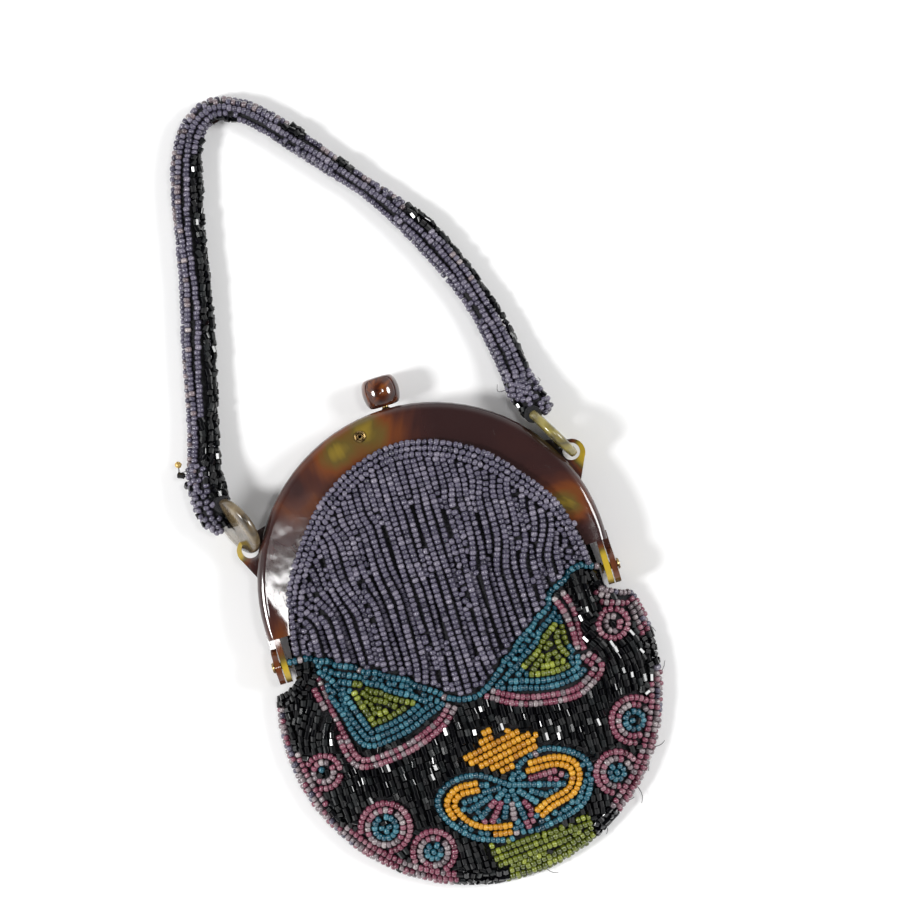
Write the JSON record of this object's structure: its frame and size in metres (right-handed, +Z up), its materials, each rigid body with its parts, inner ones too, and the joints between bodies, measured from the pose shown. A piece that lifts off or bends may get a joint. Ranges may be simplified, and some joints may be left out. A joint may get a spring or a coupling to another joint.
{
  "type": "coin purse",
  "caption": "Small round beaded coin purse on a hinged arched celluloid frame with a swinging knob catch, a ring on each side and a beaded strap.",
  "frame": {"origin": "under the middle of the purse's outline, without its strap and rings, on the surface that it lies on its back on", "axes": "+Y from the bottom of the bag to the knob, +X to the right seen from the front, +Z up out of the front face"},
  "size_m": [0.106, 0.2254, 0.0173],
  "materials": {
    "tortoiseshell": "mottled tortoiseshell celluloid, polished, with fine scratches",
    "old_brass": "old brass, dull",
    "nickel_steel": "plated spring steel",
    "amber_glass": "amber-brown translucent bead, glossy",
    "horn_celluloid": "horn-coloured celluloid, semi-gloss",
    "beaded_cloth": "cloth covered with sewn glass seed beads",
    "silk_lining": "plain silk lining, worn",
    "linen_thread": "dark sewing thread",
    "strap_cloth": "black cloth strap sewn over with glass beads"
  },
  "bodies": {
    "back_frame": {"back_frame": "tortoiseshell", "hinge_pin_left": "old_brass", "hinge_pin_right": "old_brass", "catch_keeper": "old_brass", "sewing_thread_back": "linen_thread", "bag_back_panel": "beaded_cloth", "bag_front_panel": "beaded_cloth", "lining_back": "silk_lining", "lining_front": "silk_lining", "strap": "strap_cloth"},
    "front_frame": {"front_frame": "tortoiseshell", "bag_front_gather": "beaded_cloth", "lining_front_upper": "silk_lining", "sewing_thread_front": "linen_thread", "catch_pivot_pin": "old_brass", "spring_anchor_pin": "old_brass", "catch_spring": "nickel_steel"},
    "catch_lever": {"catch_lever": "nickel_steel", "knob_stem": "old_brass", "knob_bead": "amber_glass"},
    "left_ring": {"ring_left": "horn_celluloid", "strap_loop_left": "strap_cloth"},
    "right_ring": {"ring_right": "horn_celluloid", "strap_loop_right": "strap_cloth"}
  },
  "joints": [
    {"name": "frame_hinge", "type": "hinge", "parent": "back_frame", "child": "front_frame", "pos_m": [0, 0.00275, 0.0073], "axis": [1, 0, 0], "range_deg": [0, 90]},
    {"name": "catch_swing", "type": "hinge", "parent": "front_frame", "child": "catch_lever", "pos_m": [-0.0041, 0.04945, 0.0073], "axis": [0, 0, 1], "range_deg": [0, 12], "stiffness_Nm_per_rad": 0.02},
    {"name": "left_ring_swing", "type": "hinge", "parent": "back_frame", "child": "left_ring", "pos_m": [-0.0453, 0.03524, 0.0059], "axis": [0, 0, 1], "range_deg": [0, 25]},
    {"name": "right_ring_swing", "type": "hinge", "parent": "back_frame", "child": "right_ring", "pos_m": [0.0453, 0.03524, 0.0059], "axis": [0, 0, 1], "range_deg": [-25, 0]}
  ]
}
